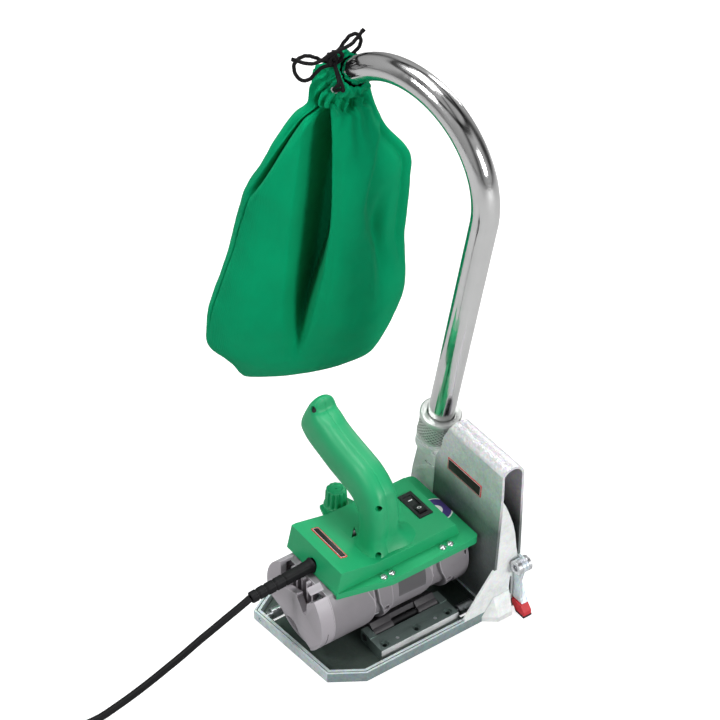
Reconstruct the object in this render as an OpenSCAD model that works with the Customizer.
// Electric floor groover: a small circular milling machine for the seams of sheet flooring.
// X runs along the motor shaft towards the blade, -Y is the way it is pushed, +Z is up.
// The origin lies on the sole, under the middle of the base plate.

/* [Base] */
// Right end of the base plate, from the origin
base_right = 104; // [100:1:110]
// Front edge of the base plate
base_front = -75; // [-80:1:-74]
// Rear edge of the base plate
base_rear = 87; // [85:1:95]
// Height of the rim
rim_h = 12; // [10:0.5:14]
// Thickness of the rim wall
rim_w = 6; // [5:0.5:8]
// Thickness of the tray floor
floor_t = 3.5; // [2.5:0.5:4]
// Radius of the travel rollers
roller_r = 6; // [5.5:0.5:6.5]

/* [Motor] */
// Shaft axis, distance behind the origin
shaft_y = 8; // [7:0.5:9]
// Shaft axis, height above the sole
shaft_z = 58.5; // [58:0.5:60]
// Outer radius of the motor housings
motor_r = 49.5; // [46:0.5:49.5]
// Wall thickness of the motor housings
motor_wall = 3; // [2.5:0.5:4]
// Radius of the milling blade
blade_r = 57.8; // [54:0.1:57.8]
// Number of blade teeth
blade_teeth = 24; // [12:1:40]

/* [Switch box] */
// Height of the underside of the flange
flange_z = 92; // [91.8:0.1:93]
// Thickness of the box walls
box_wall = 2.6; // [2:0.2:3]
// Height of the top of the box at the blade end
box_top = 110.5; // [110:0.5:112]
// Height of the top of the box at the cord end
box_high = 120; // [118:1:122]

/* [Shroud] */
// Thickness of the shroud sheet
sheet_t = 3; // [2.5:0.5:3]
// Height of the ridge of the shroud
ridge_z = 198; // [195:1:202]
// Outer radius of the bend at the ridge
ridge_r = 15; // [14:0.5:15]

/* [Extraction pipe] */
// Outer radius of the pipe
pipe_r = 14; // [12:0.5:14]
// Wall thickness of the pipe
pipe_wall = 1.5; // [1:0.5:2]
// Length of the straight stretch above the collar
pipe_straight = 268; // [220:1:280]
// Radius of the bend at its centre line
bend_r = 104.5; // [90:0.5:110]
// Angle of the bend
bend_angle = 170; // [150:1:175]
// Angle by which the pipe leans forward
pipe_lean = 10.4; // [8:0.2:12]

/* [Dust bag] */
// Width of the filled bag
bag_w = 236; // [180:2:240]
// Thickness of the filled bag
bag_t = 96; // [60:2:96]

/* [Cord] */
// Radius of the mains cord
cord_r = 4; // [3:0.5:4.5]

/* [Hidden] */
$fn = 64;

zinc = [0.74, 0.80, 0.79];
steel = [0.72, 0.73, 0.75];
dark_steel = [0.33, 0.38, 0.35];
green = [0.05, 0.55, 0.33];
grey_plastic = [0.43, 0.41, 0.43];
black_plastic = [0.06, 0.06, 0.07];
copper = [0.72, 0.42, 0.22];
red = [0.78, 0.10, 0.15];

// Radial clearance of a shaft that turns in a bore
running = 0.05;
// Gap between neighbours that only lie against each other
gap = 0.15;

// A cylinder along +X from x0 to x1, centred on the line y, z
module rod_x(x0, x1, y, z, r, faces = 64) {
    translate([x0, y, z]) rotate([0, 90, 0]) cylinder(h = x1 - x0, r = r, $fn = faces);
}

// A tube along +X
module tube_x(x0, x1, y, z, r, bore, faces = 64) {
    difference() {
        rod_x(x0, x1, y, z, r, faces);
        rod_x(x0 - 1, x1 + 1, y, z, bore, faces);
    }
}

// A box given by its two corners
module block(low, high) {
    translate(low) cube(high - low);
}

// An outline of [y, z] points, extruded along +X from x0 to x1
module plate_yz(points, x0, x1) {
    translate([x0, 0, 0]) rotate([90, 0, 90]) linear_extrude(x1 - x0) polygon(points);
}

// An outline of [x, z] points, extruded along +Y from y0 to y1
module plate_xz(points, y0, y1) {
    translate([0, y1, 0]) rotate([90, 0, 0]) linear_extrude(y1 - y0) polygon(points);
}

// Points on an arc, from angle a0 to a1
function arc(cx, cy, r, a0, a1, steps = 12) =
    [for (i = [0 : steps]) let (a = a0 + (a1 - a0) * i / steps) [cx + r * cos(a), cy + r * sin(a)]];

// A convex counter-clockwise outline with every side moved inwards by d
function side_normal(p, q) = let (v = q - p, n = norm(v)) [-v.y / n, v.x / n];
function inset(points, d) = [for (i = [0 : len(points) - 1])
    let (a = points[(i + len(points) - 1) % len(points)],
        b = points[i],
        c = points[(i + 1) % len(points)],
        m = side_normal(a, b),
        n = side_normal(b, c))
    b + d * (m + n) / (1 + m * n)];

// ---- Base ----

tray_right = 59;
base_outline = [[-96, base_front], [base_right, base_front], [base_right, base_rear],
    [-104, base_rear], [-140, 66], [-130, -53]];
tray_outline = [[-96, base_front], [tray_right + rim_w, base_front], [tray_right + rim_w, base_rear],
    [-104, base_rear], [-140, 66], [-130, -53]];
// Windows for the rollers: middle x, middle y, and which way the axle boss lies
left_window = [-116, 56];
rear_window = [30, 73];
front_window = [45, -52];
window_w = 21;
window_l = 16;
axle_r = 2;
axle_z = roller_r;
slot_x = [80.5, 90.5];
slot_y = [-32, 54];

module window_cut(centre) {
    block([centre.x - window_w / 2, centre.y - window_l / 2, -1],
        [centre.x + window_w / 2, centre.y + window_l / 2, rim_h + 1]);
}

module axle_boss(x, y) {
    block([x - 2.5, y - 4, 0], [x + 2.5, y + 4, 9.5]);
}

module base_plate() {
    color(zinc) difference() {
        union() {
            difference() {
                linear_extrude(rim_h) polygon(base_outline);
                translate([0, 0, floor_t]) linear_extrude(rim_h) polygon(inset(tray_outline, rim_w));
                // groove that runs along the middle of the rim
                translate([0, 0, rim_h - 1]) linear_extrude(2) difference() {
                    polygon(inset(tray_outline, 2.2));
                    polygon(inset(tray_outline, 3.2));
                    translate([30, -100]) square([80, 200]);
                }
            }
            axle_boss(left_window.x + 14, left_window.y);
            for (x = [-14, 14]) {
                axle_boss(rear_window.x + x, rear_window.y);
                axle_boss(front_window.x + x * 0.95, front_window.y);
            }
        }
        window_cut(left_window);
        window_cut(rear_window);
        window_cut(front_window);
        rod_x(-145, left_window.x + 20, left_window.y, axle_z, axle_r + 0.02);
        rod_x(rear_window.x - 18, rear_window.x + 18, rear_window.y, axle_z, axle_r + 0.02);
        rod_x(front_window.x - 18, front_window.x + 18, front_window.y, axle_z, axle_r + 0.02);
        block([slot_x[0], slot_y[0], -1], [slot_x[1], slot_y[1], rim_h + 1]);
        // plain lightening holes in the tray floor
        translate([-110, 33.5, -1]) cylinder(h = 6, r = 2);
        translate([-112, 7, -1]) cylinder(h = 6, r = 1.6);
        translate([-107, 22, -1]) cylinder(h = 6, r = 4.2);
    }
}

module roller(centre) {
    color(steel) tube_x(centre.x - 9, centre.x + 9, centre.y, axle_z, roller_r, axle_r + running);
}

module left_roller() {
    roller(left_window);
}

module rear_roller() {
    roller(rear_window);
}

module front_roller() {
    roller(front_window);
}

module roller_axles() {
    color(steel) {
        rod_x(-137.4, left_window.x + 16.4, left_window.y, axle_z, axle_r);
        rod_x(rear_window.x - 16.4, rear_window.x + 16.4, rear_window.y, axle_z, axle_r);
        rod_x(front_window.x - 15.6, front_window.x + 15.6, front_window.y, axle_z, axle_r);
    }
}

// ---- Hinge of the motor carriage ----

hinge_y = -33;
hinge_z = 12;
hinge_pin_r = 4;
block_x = [-69, 29];
block_y = [-63, -41.2];
block_top = 17;
rail_hole_x = [-60, -20, 20];
rail_hole_y = -56;
rail_hole_r = 2.5;
dowel_x = [-44, 4];
ear_x = [[-69, -60.3], [20.3, 29]];

module hinge_block() {
    color(dark_steel) difference() {
        union() {
            block([block_x[0], block_y[0], floor_t], [block_x[1], block_y[1], block_top]);
            for (e = ear_x) {
                block([e[0], block_y[1] - 1, floor_t], [e[1], hinge_y + 7, block_top + 1]);
            }
        }
        for (x = rail_hole_x) {
            translate([x, rail_hole_y, floor_t - 1]) cylinder(h = 20, r = rail_hole_r);
            translate([x, rail_hole_y, block_top - 2]) cylinder(h = 4, r = 4.6);
        }
        for (x = dowel_x) {
            translate([x, rail_hole_y, floor_t - 1]) cylinder(h = 20, r = 2.02);
        }
        rod_x(block_x[0] - 1, block_x[1] + 1, hinge_y, hinge_z, hinge_pin_r + 0.02);
    }
}

module dowel_pins() {
    color(steel) for (x = dowel_x) {
        translate([x, rail_hole_y, floor_t + 0.1]) cylinder(h = block_top - floor_t - 0.8, r = 2);
    }
}

module hinge_pin() {
    color(steel) rod_x(block_x[0], block_x[1], hinge_y, hinge_z, hinge_pin_r);
}

module motor_cradle() {
    color(dark_steel) difference() {
        union() {
            for (x = [[-60, -36], [-4, 20]]) {
                rod_x(x[0], x[1], hinge_y, hinge_z, 7.3);
                plate_yz([[-38, 13], [-34, 19.2], [-29, 23.5], [-4, 12.5], [-18, 8.5], [-33, 4.7]],
                    x[0], x[1]);
            }
            plate_yz([[-30, 17], [-28, 22.5], [-4, 12.5], [-18, 8.5]], -60, 20);
        }
        rod_x(-70, 30, shaft_y, shaft_z, motor_r + gap);
        rod_x(-70, 30, hinge_y, hinge_z, hinge_pin_r + running);
    }
}

// ---- Blade shroud, its front plate and the casting that carries the pipe ----

left_foot = 61.6;
left_lean = 0.0535;
right_face = 98;
ridge_x = right_face - ridge_r;
web_t = 3;
split_z = 65;
seam_y = 34;
chamber_y = [10, 56.5];
passage_r = 24;

// Outer face of the left sheet at height z
function left_face(z) = left_foot + (z - rim_h) * left_lean;

module shroud_section(d) {
    top_z = ridge_z - ridge_r;
    r = ridge_r - d;
    polygon(concat([[left_face(rim_h) + d, rim_h], [right_face - d, rim_h]],
        arc(ridge_x, top_z, r, 0, 150, 16),
        [[left_face(165) + d, 165]]));
}

module blade_shroud() {
    color(zinc) difference() {
        intersection() {
            translate([0, seam_y, 0]) rotate([90, 0, 0]) linear_extrude(seam_y - base_front)
                shroud_section(0);
            plate_yz([[base_front, rim_h], [base_front, 220], [6, 220], [16, 189], [23, 176],
                [26.5, 160], [seam_y - gap, 143], [seam_y - gap, rim_h]], 50, 120);
        }
        translate([0, 100, 0]) rotate([90, 0, 0]) linear_extrude(200) difference() {
            shroud_section(sheet_t);
            translate([0, -1]) square([200, rim_h + 1.02]);
        }
        translate([0, 100, -1]) rotate([90, 0, 0]) linear_extrude(200)
            polygon([[left_face(rim_h) + sheet_t, rim_h - 1], [right_face - sheet_t, rim_h - 1],
                [right_face - sheet_t, rim_h + 5], [left_face(rim_h) + sheet_t, rim_h + 5]]);
        // the front plate covers the lower part of both front edges
        block([50, base_front - 1, 0], [120, base_front + web_t + gap, split_z]);
        rod_x(50, 80, chamber_y[0], chamber_y[1], passage_r);
    }
}

web_top = [[92.5, 84], [90, 104.6], [86.5, 120], [81.2, 135.7], [76.5, 148], [71.6, 158]];

module front_web() {
    color(zinc) difference() {
        union() {
            plate_xz([[28, rim_h], [right_face, rim_h], [right_face, split_z - gap],
                [left_face(split_z), split_z - gap], [left_face(split_z) - 1, split_z - 1],
                [28, rim_h + 4.5]], base_front, base_front + web_t);
            plate_xz(concat([[left_face(split_z) + sheet_t + gap, split_z - 1],
                [right_face - sheet_t - gap, split_z - 1], [right_face - sheet_t - gap, 72]],
                web_top, [[left_face(150) + sheet_t + gap, 150]]), base_front, base_front + web_t);
        }
        // sight slot over the cutting line
        plate_xz([[86.3, 20], [88.4, 20], [88.4, 32], [87.6, 45], [86, 45], [85, 32]],
            base_front - 1, base_front + web_t + 1);
    }
}

// Frames of the pipe: upright plane of its bend, and its leaning straight axis
plane_point = [86, 45, 0];
plane_turn = 100;
collar_top = [3.1, 184.5];
spigot_r = 18;
pipe_end = -32;

module pipe_axis() {
    translate(plane_point) rotate([0, 0, plane_turn]) translate([collar_top[0], 0, collar_top[1]])
        rotate([0, -pipe_lean, 0]) children();
}

boss_r = 74;
boss_rise = 1.2;
casting_side = [[seam_y + gap, rim_h], [seam_y + gap, 141], [60, 147], [64.5, 136],
    [70.6, 102.8], [75, 60], [82, rim_h]];

module casting_slab(d) {
    translate([0, 100, 0]) rotate([90, 0, 0]) linear_extrude(70) polygon([
        [left_face(rim_h) - d, rim_h], [right_face + min(d, 0), rim_h],
        [right_face + min(d, 0), 150], [left_face(150) - d, 150]]);
}

module socket_casting() {
    color(zinc) difference() {
        union() {
            intersection() {
                casting_slab(0);
                plate_yz(casting_side, 50, 110);
            }
            // raised round boss about the shaft
            intersection() {
                casting_slab(boss_rise);
                tube_x(55, 70, shaft_y, shaft_z, boss_r, boss_r - 3.5, 96);
                block([50, seam_y + gap, 98], [70, 90, 134]);
            }
            pipe_axis() translate([0, 0, -44]) cylinder(h = 36, r = spigot_r);
            pipe_axis() translate([0, 0, -47]) cylinder(h = 9, r = 20.5);
        }
        // chamber behind the blade
        plate_yz([[seam_y - 5, 0], [seam_y - 5, 126], [50, 126], [62, 101], [74.5, 60],
            [74.5, 0]], left_face(rim_h) + 6, right_face - sheet_t);
        pipe_axis() translate([0, 0, pipe_end - 0.3]) cylinder(h = 50, r = pipe_r + running);
        pipe_axis() translate([0, 0, -75]) cylinder(h = 60, r = pipe_r - pipe_wall);
        rod_x(50, 75, chamber_y[0], chamber_y[1], passage_r);
    }
}

// Countersunk screws that hold the right sheet to the casting and the base
module sheet_screws() {
    color(steel) for (p = [[46, 30], [46, 78], [46, 120]]) {
        rod_x(right_face + 0.02, right_face + 2.2, p[0], p[1], 4, 32);
    }
}

module shroud_label() {
    tilt = atan(left_lean);
    color(red) translate([left_face(148.5) - 0.75, -14, 148.5]) rotate([0, tilt, 0])
        translate([0, 0, -7.5]) difference() {
            translate([0, -29, 0]) cube([0.6, 56, 15]);
            translate([-0.3, -27, 2]) cube([0.5, 52, 11]);
        }
}

module guide_nose() {
    color(zinc) hull() {
        translate([0, 0, 0.6]) linear_extrude(6.4)
            polygon([[50, base_front - gap], [64, -86], [82, -86], [86, base_front - gap]]);
        block([64, base_front - 0.6, 10], [85, base_front - gap, 27]);
    }
}

// ---- Folding pointer that marks the cutting line ----

pivot_y = -84;
pivot_z = 65;
pivot_r = 8.3;
pivot_bolt_r = 3;
pointer_x = [89.6, 93.6];
bracket_x = [93.8, 97];
tip_top = 14.6;

module pointer_bracket() {
    color(zinc) difference() {
        union() {
            rod_x(bracket_x[0], bracket_x[1], pivot_y, pivot_z, pivot_r);
            block([bracket_x[0], pivot_y, pivot_z - 7],
                [bracket_x[1], base_front - gap, pivot_z + 8.3]);
        }
        rod_x(90, 100, pivot_y, pivot_z, pivot_bolt_r + 0.02);
    }
}

module pointer_bolt() {
    color(steel) difference() {
        union() {
            rod_x(84.6, pointer_x[0] - gap, pivot_y, pivot_z, pivot_r);
            rod_x(88, bracket_x[1] + 1, pivot_y, pivot_z, pivot_bolt_r);
            rod_x(bracket_x[1] + 0.1, bracket_x[1] + 4, pivot_y, pivot_z, pivot_r);
        }
        rod_x(84, 88, pivot_y, pivot_z, 4.2, 6);
    }
}

module guide_pointer() {
    color(zinc) difference() {
        union() {
            rod_x(pointer_x[0], pointer_x[1], pivot_y, pivot_z, pivot_r);
            plate_yz([[pivot_y - 6, pivot_z - 4], [-86, 44], [-88, tip_top + 2], [-76.5, tip_top + 2],
                [-76.5, 46], [pivot_y + 7.2, pivot_z - 3]], pointer_x[0], pointer_x[1]);
            plate_yz([[-91, tip_top + 0.1], [-78.5, 38], [-76.5, 38], [-76.5, tip_top + 0.1]],
                90.4, 98.6);
        }
        rod_x(80, 110, pivot_y, pivot_z, pivot_bolt_r + running);
    }
}

module pointer_tip() {
    color(red) plate_yz([[-97, 0.8], [-97, 8], [-91, tip_top], [-76.5, tip_top],
        [-76.5, 8], [-84, 0.8]], 88.4, 98.6);
}

// ---- Depth setting ----

dial_x = -30;
dial_y = 73;
dial_r = 12.5;
plunger_r = 4;

module depth_pad() {
    color(steel) translate([dial_x, dial_y, floor_t + 0.02]) cylinder(h = 1.5, r = 6);
}

module depth_plunger() {
    color(steel) translate([dial_x, dial_y, floor_t + 2.1]) cylinder(h = 91.6, r = plunger_r);
}

module depth_dial() {
    dial_z = flange_z + 4 + gap;
    color(green) translate([dial_x, dial_y, dial_z]) difference() {
        union() {
            cylinder(h = 4, r = dial_r + 1);
            cylinder(h = 24, r = dial_r - 1.5);
            for (i = [0 : 11]) {
                rotate([0, 0, i * 30]) translate([dial_r - 2, 0, 0]) cylinder(h = 23, r = 2, $fn = 24);
            }
        }
        translate([0, 0, -1]) cylinder(h = 20, r = plunger_r + running);
    }
}

// ---- Motor ----

cap_x = [-128, -112];
rear_x = [-111.9, -58];
field_x = [-57.9, 13.9];
drive_x = [14, 57.8];
flat_top = flange_z - 0.3;

module housing(x0, x1, r, wall) {
    difference() {
        rod_x(x0, x1, shaft_y, shaft_z, r, 96);
        rod_x(x0 - 1, x1 + 1, shaft_y, shaft_z, r - wall, 96);
        block([x0 - 1, -80, flat_top], [x1 + 1, 90, 130]);
    }
}

module rear_housing() {
    color(grey_plastic) {
        housing(rear_x[0], rear_x[1], motor_r, motor_wall);
        difference() {
            union() {
                tube_x(-104, -92, shaft_y, shaft_z, 15, 11.02);
                for (a = [0 : 90 : 270]) {
                    translate([-104, shaft_y, shaft_z]) rotate([a + 45, 0, 0])
                        translate([0, 14, -2]) cube([12, motor_r - 16.5, 4]);
                }
            }
            block([-120, -80, flat_top], [-80, 90, 130]);
        }
    }
}

// Lobed end cap with a notch on top for the cord and open vents between the lobes
module vent_cap() {
    color(grey_plastic) difference() {
        rod_x(cap_x[0], cap_x[1], shaft_y, shaft_z, motor_r, 96);
        // hollow behind the end wall
        rod_x(cap_x[0] + 7, cap_x[1] + 1, shaft_y, shaft_z, motor_r - 3.5, 96);
        // notch on top for the strain relief
        plate_yz([[-14, 66], [-16, 120], [31, 120], [31, 70], [16, 76], [2, 80]], -130, -110);
        // vent between the hub and the front lobe
        plate_yz([[-14, 61], [-15, 80], [-32, 96], [-2, 100], [2, 76], [-8, 62]], -130, -110);
        // arches along the underside of the end wall
        plate_yz(concat(arc(48, 20, 20, 90, -90, 12), [[20, 0], [24, 34]]), -130, cap_x[0] + 7);
        plate_yz(concat([[26, 0]], arc(14, 22, 14, 20, 160, 10), [[-20, 20], [-22, 0]]),
            -130, cap_x[0] + 7);
        block([-130, -60, 0], [-110, 70, 7.6]);
    }
    // ribs across the vents
    color(grey_plastic) for (i = [0 : 4]) {
        translate([cap_x[1] - 5, -10 + i * 9, 60]) cube([4.9, 3, 31]);
    }
}

// Screws that join the rear housing to the field case, on a circle about the shaft
case_screw_angles = [38, 142, 218, 322];
case_screw_circle = 43.2;

module at_screw(a) {
    translate([field_x[0], shaft_y + case_screw_circle * cos(a), shaft_z + case_screw_circle * sin(a)])
        children();
}

module field_case() {
    color(grey_plastic) difference() {
        union() {
            housing(field_x[0], field_x[1], motor_r - 3, motor_wall);
            // flange ring with lugs at the cord end
            housing(field_x[0], field_x[0] + 20, motor_r, 5);
            housing(field_x[1] - 8, field_x[1], motor_r, 5);
            for (a = case_screw_angles) {
                at_screw(a) rod_x(0, 12, 0, 0, 4.4, 32);
            }
        }
        for (a = case_screw_angles) {
            at_screw(a) rod_x(-1, 30, 0, 0, 2.02, 32);
        }
    }
}

module drive_end_case() {
    color(grey_plastic) difference() {
        union() {
            housing(drive_x[0], drive_x[1], motor_r, motor_wall);
            difference() {
                rod_x(drive_x[1] - 4, drive_x[1], shaft_y, shaft_z, motor_r - 1, 96);
                block([50, -80, flat_top], [60, 90, 130]);
            }
            rod_x(drive_x[1] - 6, 70, shaft_y, shaft_z, 17);
        }
        rod_x(40, 69, shaft_y, shaft_z, 13.02);
        rod_x(60, 75, shaft_y, shaft_z, 7);
    }
}

module case_screws() {
    color(steel) for (a = case_screw_angles) {
        at_screw(a) rod_x(0.2, 11.6, 0, 0, 2, 32);
    }
}

module rating_plate() {
    color(black_plastic) intersection() {
        tube_x(-30, 2, shaft_y, shaft_z, motor_r - 2.3, motor_r - 2.9, 96);
        block([-31, -60, 42], [3, shaft_y, 86]);
    }
}

module stator_core() {
    color(steel) difference() {
        rod_x(-45, 5, shaft_y, shaft_z, motor_r - 3 - motor_wall - 0.05);
        rod_x(-46, 6, shaft_y, shaft_z, 25.5);
        for (s = [-1, 1]) {
            block([-46, shaft_y - 13, shaft_z + s * 31 - 3], [6, shaft_y + 13, shaft_z + s * 31 + 3]);
        }
    }
}

module field_coils() {
    color(copper) {
        tube_x(-55, -45.1, shaft_y, shaft_z, 35, 26.5);
        tube_x(5.1, 13, shaft_y, shaft_z, 35, 26.5);
    }
}

module brush_holders() {
    color(black_plastic) for (s = [-1, 1]) {
        difference() {
            block([-74, shaft_y + min(s * 19, s * 45.5), shaft_z - 7],
                [-60, shaft_y + max(s * 19, s * 45.5), shaft_z + 7]);
            block([-71.5, shaft_y + min(s * 18, s * 38), shaft_z - 3.5],
                [-62.5, shaft_y + max(s * 18, s * 38), shaft_z + 3.5]);
        }
    }
}

module carbon_brushes() {
    color(dark_steel) for (s = [-1, 1]) {
        block([-71.3, shaft_y + min(s * 17.2, s * 33), shaft_z - 3.3],
            [-62.7, shaft_y + max(s * 17.2, s * 33), shaft_z + 3.3]);
    }
}

module ball_bearing(x, r, bore) {
    color(steel) {
        tube_x(x, x + 8, shaft_y, shaft_z, r, r - 2.5);
        tube_x(x, x + 8, shaft_y, shaft_z, bore + 2.5, bore);
        tube_x(x + 1, x + 7, shaft_y, shaft_z, r - 2.6, bore + 2.6);
    }
}

module rear_bearing() {
    ball_bearing(-101, 11, 4 + running);
}

module front_bearing() {
    ball_bearing(60.5, 13, 6 + running);
}

module armature_shaft() {
    color(steel) {
        rod_x(-103, -90, shaft_y, shaft_z, 4);
        rod_x(-90, 74.9, shaft_y, shaft_z, 6);
        rod_x(74.9, 94, shaft_y, shaft_z, 5);
    }
}

module armature_core() {
    color(copper) difference() {
        rod_x(-45, 5, shaft_y, shaft_z, 24.8);
        rod_x(-46, 6, shaft_y, shaft_z, 6.02);
        for (i = [0 : 11]) {
            translate([-46, shaft_y, shaft_z]) rotate([i * 30, 0, 0]) translate([0, 18, -1.2])
                cube([52, 8, 2.4]);
        }
    }
}

module commutator() {
    color(copper) tube_x(-76, -58, shaft_y, shaft_z, 17, 6.02);
}

module cooling_fan() {
    color(black_plastic) {
        tube_x(20, 22, shaft_y, shaft_z, 32, 6.02);
        tube_x(22, 34, shaft_y, shaft_z, 10, 6.02);
        for (i = [0 : 11]) {
            translate([21.9, shaft_y, shaft_z]) rotate([i * 30, 0, 0]) translate([0, 9.5, -1])
                cube([10, 22, 2]);
        }
    }
}

// Blade outline: a rake face and a sloping back for each tooth
function tooth(i) = let (a = 360 * i / blade_teeth, pitch = 360 / blade_teeth)
    [[blade_r * cos(a), blade_r * sin(a)],
    [(blade_r - 1) * cos(a + pitch * 0.45), (blade_r - 1) * sin(a + pitch * 0.45)],
    [(blade_r - 5) * cos(a + pitch * 0.75), (blade_r - 5) * sin(a + pitch * 0.75)],
    [(blade_r - 5) * cos(a + pitch * 0.95), (blade_r - 5) * sin(a + pitch * 0.95)]];

blade_x = [84, 87];

module milling_blade() {
    color(steel) difference() {
        translate([blade_x[0], shaft_y, shaft_z]) rotate([90, 0, 90]) linear_extrude(3)
            polygon([for (i = [0 : blade_teeth - 1]) each tooth(i)]);
        rod_x(blade_x[0] - 1, blade_x[1] + 1, shaft_y, shaft_z, 5.02);
    }
}

module blade_flanges() {
    color(dark_steel) {
        tube_x(75, blade_x[0] - 0.02, shaft_y, shaft_z, 19, 5.02);
        tube_x(blade_x[1] + 0.02, 90, shaft_y, shaft_z, 18, 5.02);
    }
}

module blade_nut() {
    color(dark_steel) difference() {
        rod_x(90.1, 94, shaft_y, shaft_z, 9, 6);
        rod_x(89, 96, shaft_y, shaft_z, 5.02);
    }
}

// ---- Switch box and handle ----

box_y = [-34.5, 54];
flange_right = 63.2;
flange_front = -50;
rear_lip_y = 66;

flange_outline = concat([[-105, -34.5], [-46, flange_front]],
    arc(flange_right - 6, flange_front + 6, 6, -90, 0, 6),
    arc(flange_right - 8, rear_lip_y - 8, 8, 0, 90, 6),
    [[dial_x + 20, rear_lip_y], [dial_x + 14, dial_y + 10], [dial_x - 14, dial_y + 10],
    [dial_x - 20, rear_lip_y - 2], [-96, 60], [-102, 54]]);
ramp_x = [-93, -57];
label_x = -85;
// Edge that hangs down along the front of the flange
rim_t = 2.4;
front_rim = concat([[-105, -34.5], [-46, flange_front]],
    arc(flange_right - 6, flange_front + 6, 6, -90, 0, 6), [[flange_right, 0],
    [flange_right - rim_t, 0]],
    arc(flange_right - 6, flange_front + 6, 6 - rim_t, 0, -90, 6),
    [[-45.7, flange_front + rim_t], [-104, -32.3]]);
box_profile = [[-105, flange_z + 1], [-98.5, box_high], [ramp_x[0], box_high], [ramp_x[1], box_top + 1.5],
    [-20, box_top], [44, box_top], [50, flange_z + 1]];
box_cavity = [[-102.5, flange_z - 1], [-96, box_high - box_wall], [-93.5, box_high - box_wall],
    [-57.5, box_top + 1.5 - box_wall], [-20, box_top - box_wall], [41.8, box_top - box_wall],
    [47.5, flange_z - 1]];
switch_x = [20.5, 34.5];
switch_y = [-5, 31];
gland = [10.5, 101];
screw_x = [-52, -42, 22, 31.5];
screw_y = -42;

module switch_box() {
    color(green) difference() {
        union() {
            plate_xz(box_profile, box_y[0], box_y[1]);
            translate([0, 0, flange_z]) linear_extrude(4) polygon(flange_outline);
            translate([0, 0, flange_z - 4]) linear_extrude(4.5) polygon(front_rim);
        }
        plate_xz(box_cavity, box_y[0] + box_wall, box_y[1] - box_wall);
        block([switch_x[0], switch_y[0], 100], [switch_x[1], switch_y[1], 120]);
        rod_x(-110, -90, gland[0], gland[1], 7.02);
        for (x = screw_x) {
            translate([x, screw_y, flange_z - 1]) cylinder(h = 6, r = 2.05);
        }
        translate([dial_x, dial_y, flange_z - 1]) cylinder(h = 6, r = plunger_r + running);
    }
}

module box_screws() {
    color(steel) for (x = screw_x) {
        translate([x, screw_y, flange_z - 6]) cylinder(h = 10.1, r = 2);
        translate([x, screw_y, flange_z + 4.05]) cylinder(h = 2.2, r = 3.6);
    }
}

module name_label() {
    slope = (box_high - box_top - 1.5) / (ramp_x[1] - ramp_x[0]);
    color(red) translate([label_x, -14, box_high - slope * (label_x - ramp_x[0]) + 0.1])
        rotate([0, atan(slope), 0]) cube([9, 53, 0.6]);
}

// Handle: sections along a spine, each [y, z, heading, half depth, half width]
spine = [[-10, 110, 90, 20, 20.5], [-10.5, 117, 90, 17.5, 18.5], [-11, 128, 90, 16.5, 18],
    [-12.5, 142, 88, 17.8, 18], [-11, 158, 78, 20.5, 18.5], [-3, 174, 56, 24.5, 18.5],
    [11, 183, 30, 25, 18.5], [28, 187, 12, 24.5, 18.5], [50, 191, 12, 25, 18.5],
    [68, 196, 15, 26, 18], [82, 202, 20, 28.5, 17.5], [91, 206, 24, 29, 16.5],
    [99, 209, 25, 25, 14.5], [104, 210, 25, 17, 9]];
split_x = -37;
ring_steps = 32;

// A rounded rectangle as a superellipse, point k of n
function rounded(k, n, a, b) = let (t = 360 * k / n, c = cos(t), s = sin(t), e = 0.62)
    [a * sign(c) * pow(abs(c), e), b * sign(s) * pow(abs(s), e)];
function handle_ring(s) = [for (k = [0 : ring_steps - 1])
    let (p = rounded(k, ring_steps, s[4], s[3]))
    [split_x + p.x, s[0] - p.y * sin(s[2]), s[1] + p.y * cos(s[2])]];

// A closed loft through rings of equal length
module loft(rings) {
    n = len(rings[0]);
    m = len(rings);
    polyhedron(points = [for (r = rings) each r],
        faces = concat([[for (k = [n - 1 : -1 : 0]) k]],
            [for (i = [0 : m - 2]) for (k = [0 : n - 1])
                let (a = i * n + k, b = i * n + (k + 1) % n) each [[a, b, b + n], [a, b + n, a + n]]],
            [[for (k = [0 : n - 1]) (m - 1) * n + k]]));
}

grip_hole = [[-22, 126], [-21, 176], [88, 222]];

module handle_solid() {
    loft([for (s = spine) handle_ring(s)]);
}

module handle_half(low, high) {
    difference() {
        intersection() {
            handle_solid();
            block([low, -80, 100], [high, 130, 260]);
        }
        for (p = grip_hole) {
            rod_x(split_x - 30, split_x + 30, p[0], p[1], 2.05, 32);
            rod_x(split_x - 30, split_x - 12, p[0], p[1], 3.4, 32);
        }
        plate_yz(pad_outline, split_x - 6.2, split_x + 6.2);
        // seat on the box
        translate([0, 0, gap]) plate_xz(box_profile, box_y[0], box_y[1]);
    }
}

pad_outline = [[44, 155], [44, 168.6], [84, 177.2], [96, 182], [99, 170], [90, 160]];

module handle_left() {
    color(green) handle_half(split_x - 40, split_x - 0.05);
}

module handle_right() {
    color(green) handle_half(split_x + 0.05, split_x + 40);
}

module handle_screws() {
    color(black_plastic) for (p = grip_hole) {
        rod_x(split_x - 14.5, split_x - 12.05, p[0], p[1], 3.2, 32);
        rod_x(split_x - 12, split_x + 10, p[0], p[1], 2, 32);
    }
}

module grip_pad() {
    color(black_plastic) plate_yz([[46, 164.2], [46, 168.3], [83, 176.2], [95, 181], [93, 175.3],
        [84, 172.3]], split_x - 6, split_x + 6);
}

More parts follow.
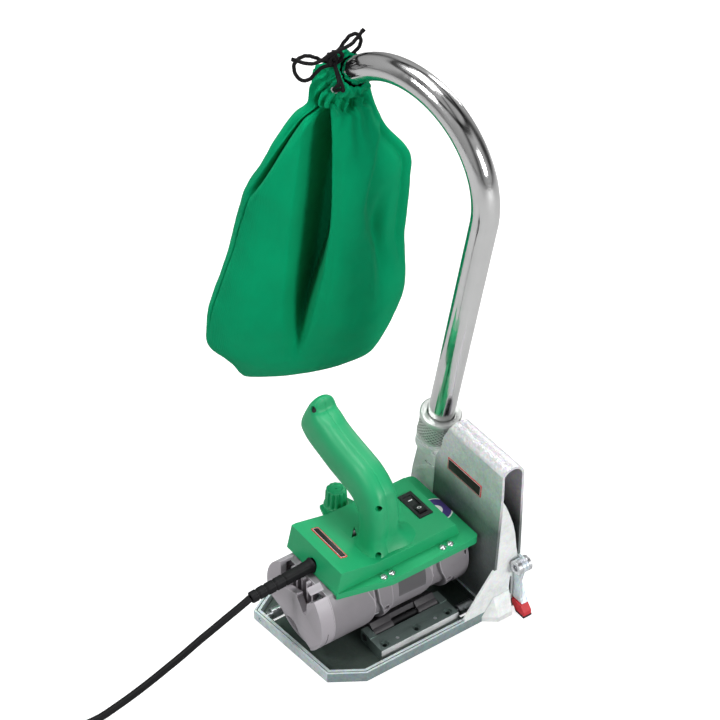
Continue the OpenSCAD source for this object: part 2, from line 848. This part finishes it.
module switch_body() {
    color(black_plastic) difference() {
        union() {
            block([switch_x[0] + 0.2, switch_y[0] + 0.2, 96], [switch_x[1] - 0.2, switch_y[1] - 0.2,
                box_top + 0.5]);
            block([switch_x[0] - 1.5, switch_y[0] - 1.5, box_top + 0.05], [switch_x[1] + 1.5,
                switch_y[1] + 1.5, box_top + 1.6]);
        }
        block([switch_x[0] + 2, switch_y[0] + 3, 100], [switch_x[1] - 2, switch_y[1] - 3, 120]);
        rod_x(switch_x[0] - 5, switch_x[1] + 5, (switch_y[0] + switch_y[1]) / 2, 106, 1.5, 32);
    }
}

rocker_y = (switch_y[0] + switch_y[1]) / 2;
rocker_z = 106;
rocker_turn = 8;

// Bent paddle on a thin cross pin; it rests with its rear end pressed in
module rocker() {
    color(black_plastic) translate([0, rocker_y, rocker_z]) rotate([-rocker_turn, 0, 0])
        translate([0, -rocker_y, -rocker_z]) {
            plate_yz([[rocker_y - 14, 108.4], [rocker_y - 14, 113], [rocker_y, 110.6],
                [rocker_y + 14, 113], [rocker_y + 14, 108.4], [rocker_y, 103]],
                switch_x[0] + 2.3, switch_x[1] - 2.3);
            rod_x(switch_x[0] + 0.4, switch_x[1] - 0.4, rocker_y, rocker_z, 1.45, 32);
        }
}

// ---- Collar nut, extraction pipe and dust bag ----

module collar_nut() {
    color(steel) pipe_axis() difference() {
        union() {
            translate([0, 0, -32]) cylinder(h = 27, r = 21.6);
            translate([0, 0, -5.5]) cylinder(h = 5.5, r = 22);
            for (i = [0 : 35]) {
                rotate([0, 0, i * 10]) translate([21.4, 0, -30]) cylinder(h = 22, r = 0.7, $fn = 16);
            }
        }
        translate([0, 0, -33]) cylinder(h = 25.2, r = spigot_r + running);
        translate([0, 0, -10]) cylinder(h = 12, r = pipe_r + 0.2);
    }
}

module extraction_pipe() {
    color(steel) pipe_axis() {
        difference() {
            translate([0, 0, pipe_end]) cylinder(h = pipe_straight - pipe_end, r = pipe_r);
            translate([0, 0, pipe_end - 1]) cylinder(h = pipe_straight - pipe_end + 2,
                r = pipe_r - pipe_wall);
        }
        translate([bend_r, 0, pipe_straight]) rotate([90, 0, 0]) rotate([0, 0, 180 - bend_angle])
            rotate_extrude(angle = bend_angle, $fn = 96) translate([bend_r, 0]) difference() {
                circle(r = pipe_r, $fn = 48);
                circle(r = pipe_r - pipe_wall, $fn = 48);
            }
    }
}

// The bag hangs in an upright plane behind the machine. Each section is
// [along, height, half width, half thickness, set back]
bag_origin = [62, 180, 0];
bag_turn = -25;
bag_sections = [[-7, 518, 28, 21, 6], [-10, 502, 36, 25, 9],
    [-13, 480, 45, 30, 12], [-14, 452, 61, 36, 15], [-12, 419, 79, 41, 18], [-18, 390, 86, 44, 21],
    [-24, 350, 88, 47, 25], [-29, 316, 91, 48, 28], [-34, 280, 98, 48, 31], [-40, 240, 103, 46, 34],
    [-44, 213, 101, 42, 36], [-49, 193, 95, 37, 37], [-46, 177, 84, 32, 38], [-47, 164, 71, 26, 39],
    [-53, 152, 58, 19, 40], [-62, 143, 42, 11, 41]];
bag_steps = 40;
tie_angle = 30;
neck_angles = [13, 28.5];
neck_r = 18.6;
tie_r = 2;

function bag_ring(s) = [for (k = [0 : bag_steps - 1])
    let (t = 360 * k / bag_steps, w = s[2] * bag_w / 236, h = s[3] * bag_t / 96)
    [s[0] + w * cos(t), s[4] + h * sin(t), s[1]]];

// Frame at the centre of the pipe's bend, in the plane of the bend
module bend() {
    pipe_axis() translate([bend_r, 0, pipe_straight]) rotate([90, 0, 0]) children();
}

// A solid arc about the pipe's centre line
module sleeve(from, to, r) {
    bend() rotate([0, 0, from]) rotate_extrude(angle = to - from, $fn = 96)
        translate([bend_r, 0]) circle(r = r, $fn = 32);
}

module dust_bag() {
    color(green) difference() {
        union() {
            translate(bag_origin) rotate([0, 0, bag_turn])
                loft([for (i = [len(bag_sections) - 1 : -1 : 0]) bag_ring(bag_sections[i])]);
            sleeve(neck_angles[0], neck_angles[1], neck_r);
        }
        // room for the end of the pipe
        sleeve(180 - bend_angle - 8, 60, pipe_r + 0.4);
    }
}

// The tied string: a ring about the pipe, a knot, two loops and two free ends
knot = [47, 187, 556];
left_loop = [knot, [36, 189, 557], [24, 190, 560], [13, 190, 565], [5, 190, 566],
    [-1, 190, 561], [0, 190, 552], [8, 190, 547], [17, 190, 547], [26, 190, 551]];
right_loop = [knot, [58, 188, 562], [70, 189, 568], [80, 190, 572], [87, 190, 570],
    [88, 190, 563], [82, 190, 556], [74, 190, 553], [64, 190, 552.5]];
right_end = [knot, [57, 187, 560], [68, 188, 566], [80, 190, 573], [88, 190, 577]];

module string(points) {
    loft([for (i = [len(points) - 1 : -1 : 0]) cord_ring(points[i], -direction(points, i), tie_r, 8)]);
}

module drawstring() {
    color(black_plastic) {
        bend() rotate([0, 0, tie_angle]) translate([bend_r, 0, 0]) rotate([-90, 0, 0])
            rotate_extrude() translate([pipe_r + 0.3 + tie_r, 0]) circle(r = tie_r, $fn = 24);
        string(left_loop);
        string(right_loop);
        string(right_end);
    }
}

// ---- Cord ----

relief_end = [-177, 13, 93.5];
relief_start = [-104, gland[0], gland[1]];

// Tapered rod between two points
module taper(p, q, r0, r1, faces = 48) {
    v = q - p;
    translate(p) rotate([0, acos(v.z / norm(v)), atan2(v.y, v.x)])
        cylinder(h = norm(v), r1 = r0, r2 = r1, $fn = faces);
}

module strain_relief() {
    color(black_plastic) {
        rod_x(-106, -100, gland[0], gland[1], 7, 48);
        taper(relief_start, relief_end, 6.2, 5.6);
    }
}

// Route of the cord from the strain relief to the coil
cord_route = [[-177, 13, 93.5], [-191, 13.5, 87], [-206, 14.5, 80], [-221, 16, 72],
    [-236, 18, 63.5], [-254, 21, 51.5], [-272, 24, 40.5], [-290, 26.5, 30.5], [-308, 29, 21.5],
    [-326, 31.5, 13.5], [-345, 34, 6.5], [-362, 36.5, 4.2], [-380, 39, 4], [-398, 41, 4]];
cord_faces = 10;

function direction(path, i) = let (a = path[max(i - 1, 0)], b = path[min(i + 1, len(path) - 1)])
    (b - a) / norm(b - a);
function cord_ring(p, d, r, faces) = let (side = cross(d, [0, 0, 1]) / norm(cross(d, [0, 0, 1])),
        up = cross(side, d))
    [for (k = [0 : faces - 1]) let (t = 360 * k / faces)
        p + r * (side * cos(t) + up * sin(t))];

module power_cord() {
    color(black_plastic) loft([for (i = [len(cord_route) - 1 : -1 : 0])
        cord_ring(cord_route[i], -direction(cord_route, i), cord_r, cord_faces)]);
}

coil_centre = [-457, -6, 0];
coil_inner = 35.5;
coil_outer = 53;
coil_h = 35;

module cord_coil() {
    color(black_plastic) translate(coil_centre) rotate_extrude($fn = 64)
        translate([coil_inner, 0.2]) square([coil_outer - coil_inner, coil_h]);
}

// Round two-pin plug, lying with its pins forward
plug_at = [-505.5, -78, 19.2];

module mains_plug() {
    translate(plug_at) rotate([90, 0, 0]) {
        color(black_plastic) {
            translate([0, 0, -14]) cylinder(h = 34, r = 19, $fn = 48);
            translate([0, 0, -38]) cylinder(h = 24, r1 = 6, r2 = 13, $fn = 48);
        }
        color(steel) for (x = [-9.5, 9.5]) {
            translate([x, 0, 19.5]) cylinder(h = 19, r = 2.4, $fn = 24);
        }
    }
}

base_plate();
hinge_block();
dowel_pins();
hinge_pin();
roller_axles();
left_roller();
rear_roller();
front_roller();
blade_shroud();
front_web();
socket_casting();
sheet_screws();
guide_nose();
shroud_label();
pointer_bracket();
pointer_bolt();
guide_pointer();
pointer_tip();
depth_pad();
motor_cradle();
rear_housing();
vent_cap();
field_case();
drive_end_case();
case_screws();
rating_plate();
stator_core();
field_coils();
brush_holders();
carbon_brushes();
rear_bearing();
front_bearing();
switch_box();
box_screws();
name_label();
handle_left();
handle_right();
handle_screws();
grip_pad();
switch_body();
rocker();
depth_dial();
depth_plunger();
armature_shaft();
armature_core();
commutator();
cooling_fan();
milling_blade();
blade_flanges();
blade_nut();
collar_nut();
extraction_pipe();
dust_bag();
drawstring();
strain_relief();
power_cord();
cord_coil();
mains_plug();
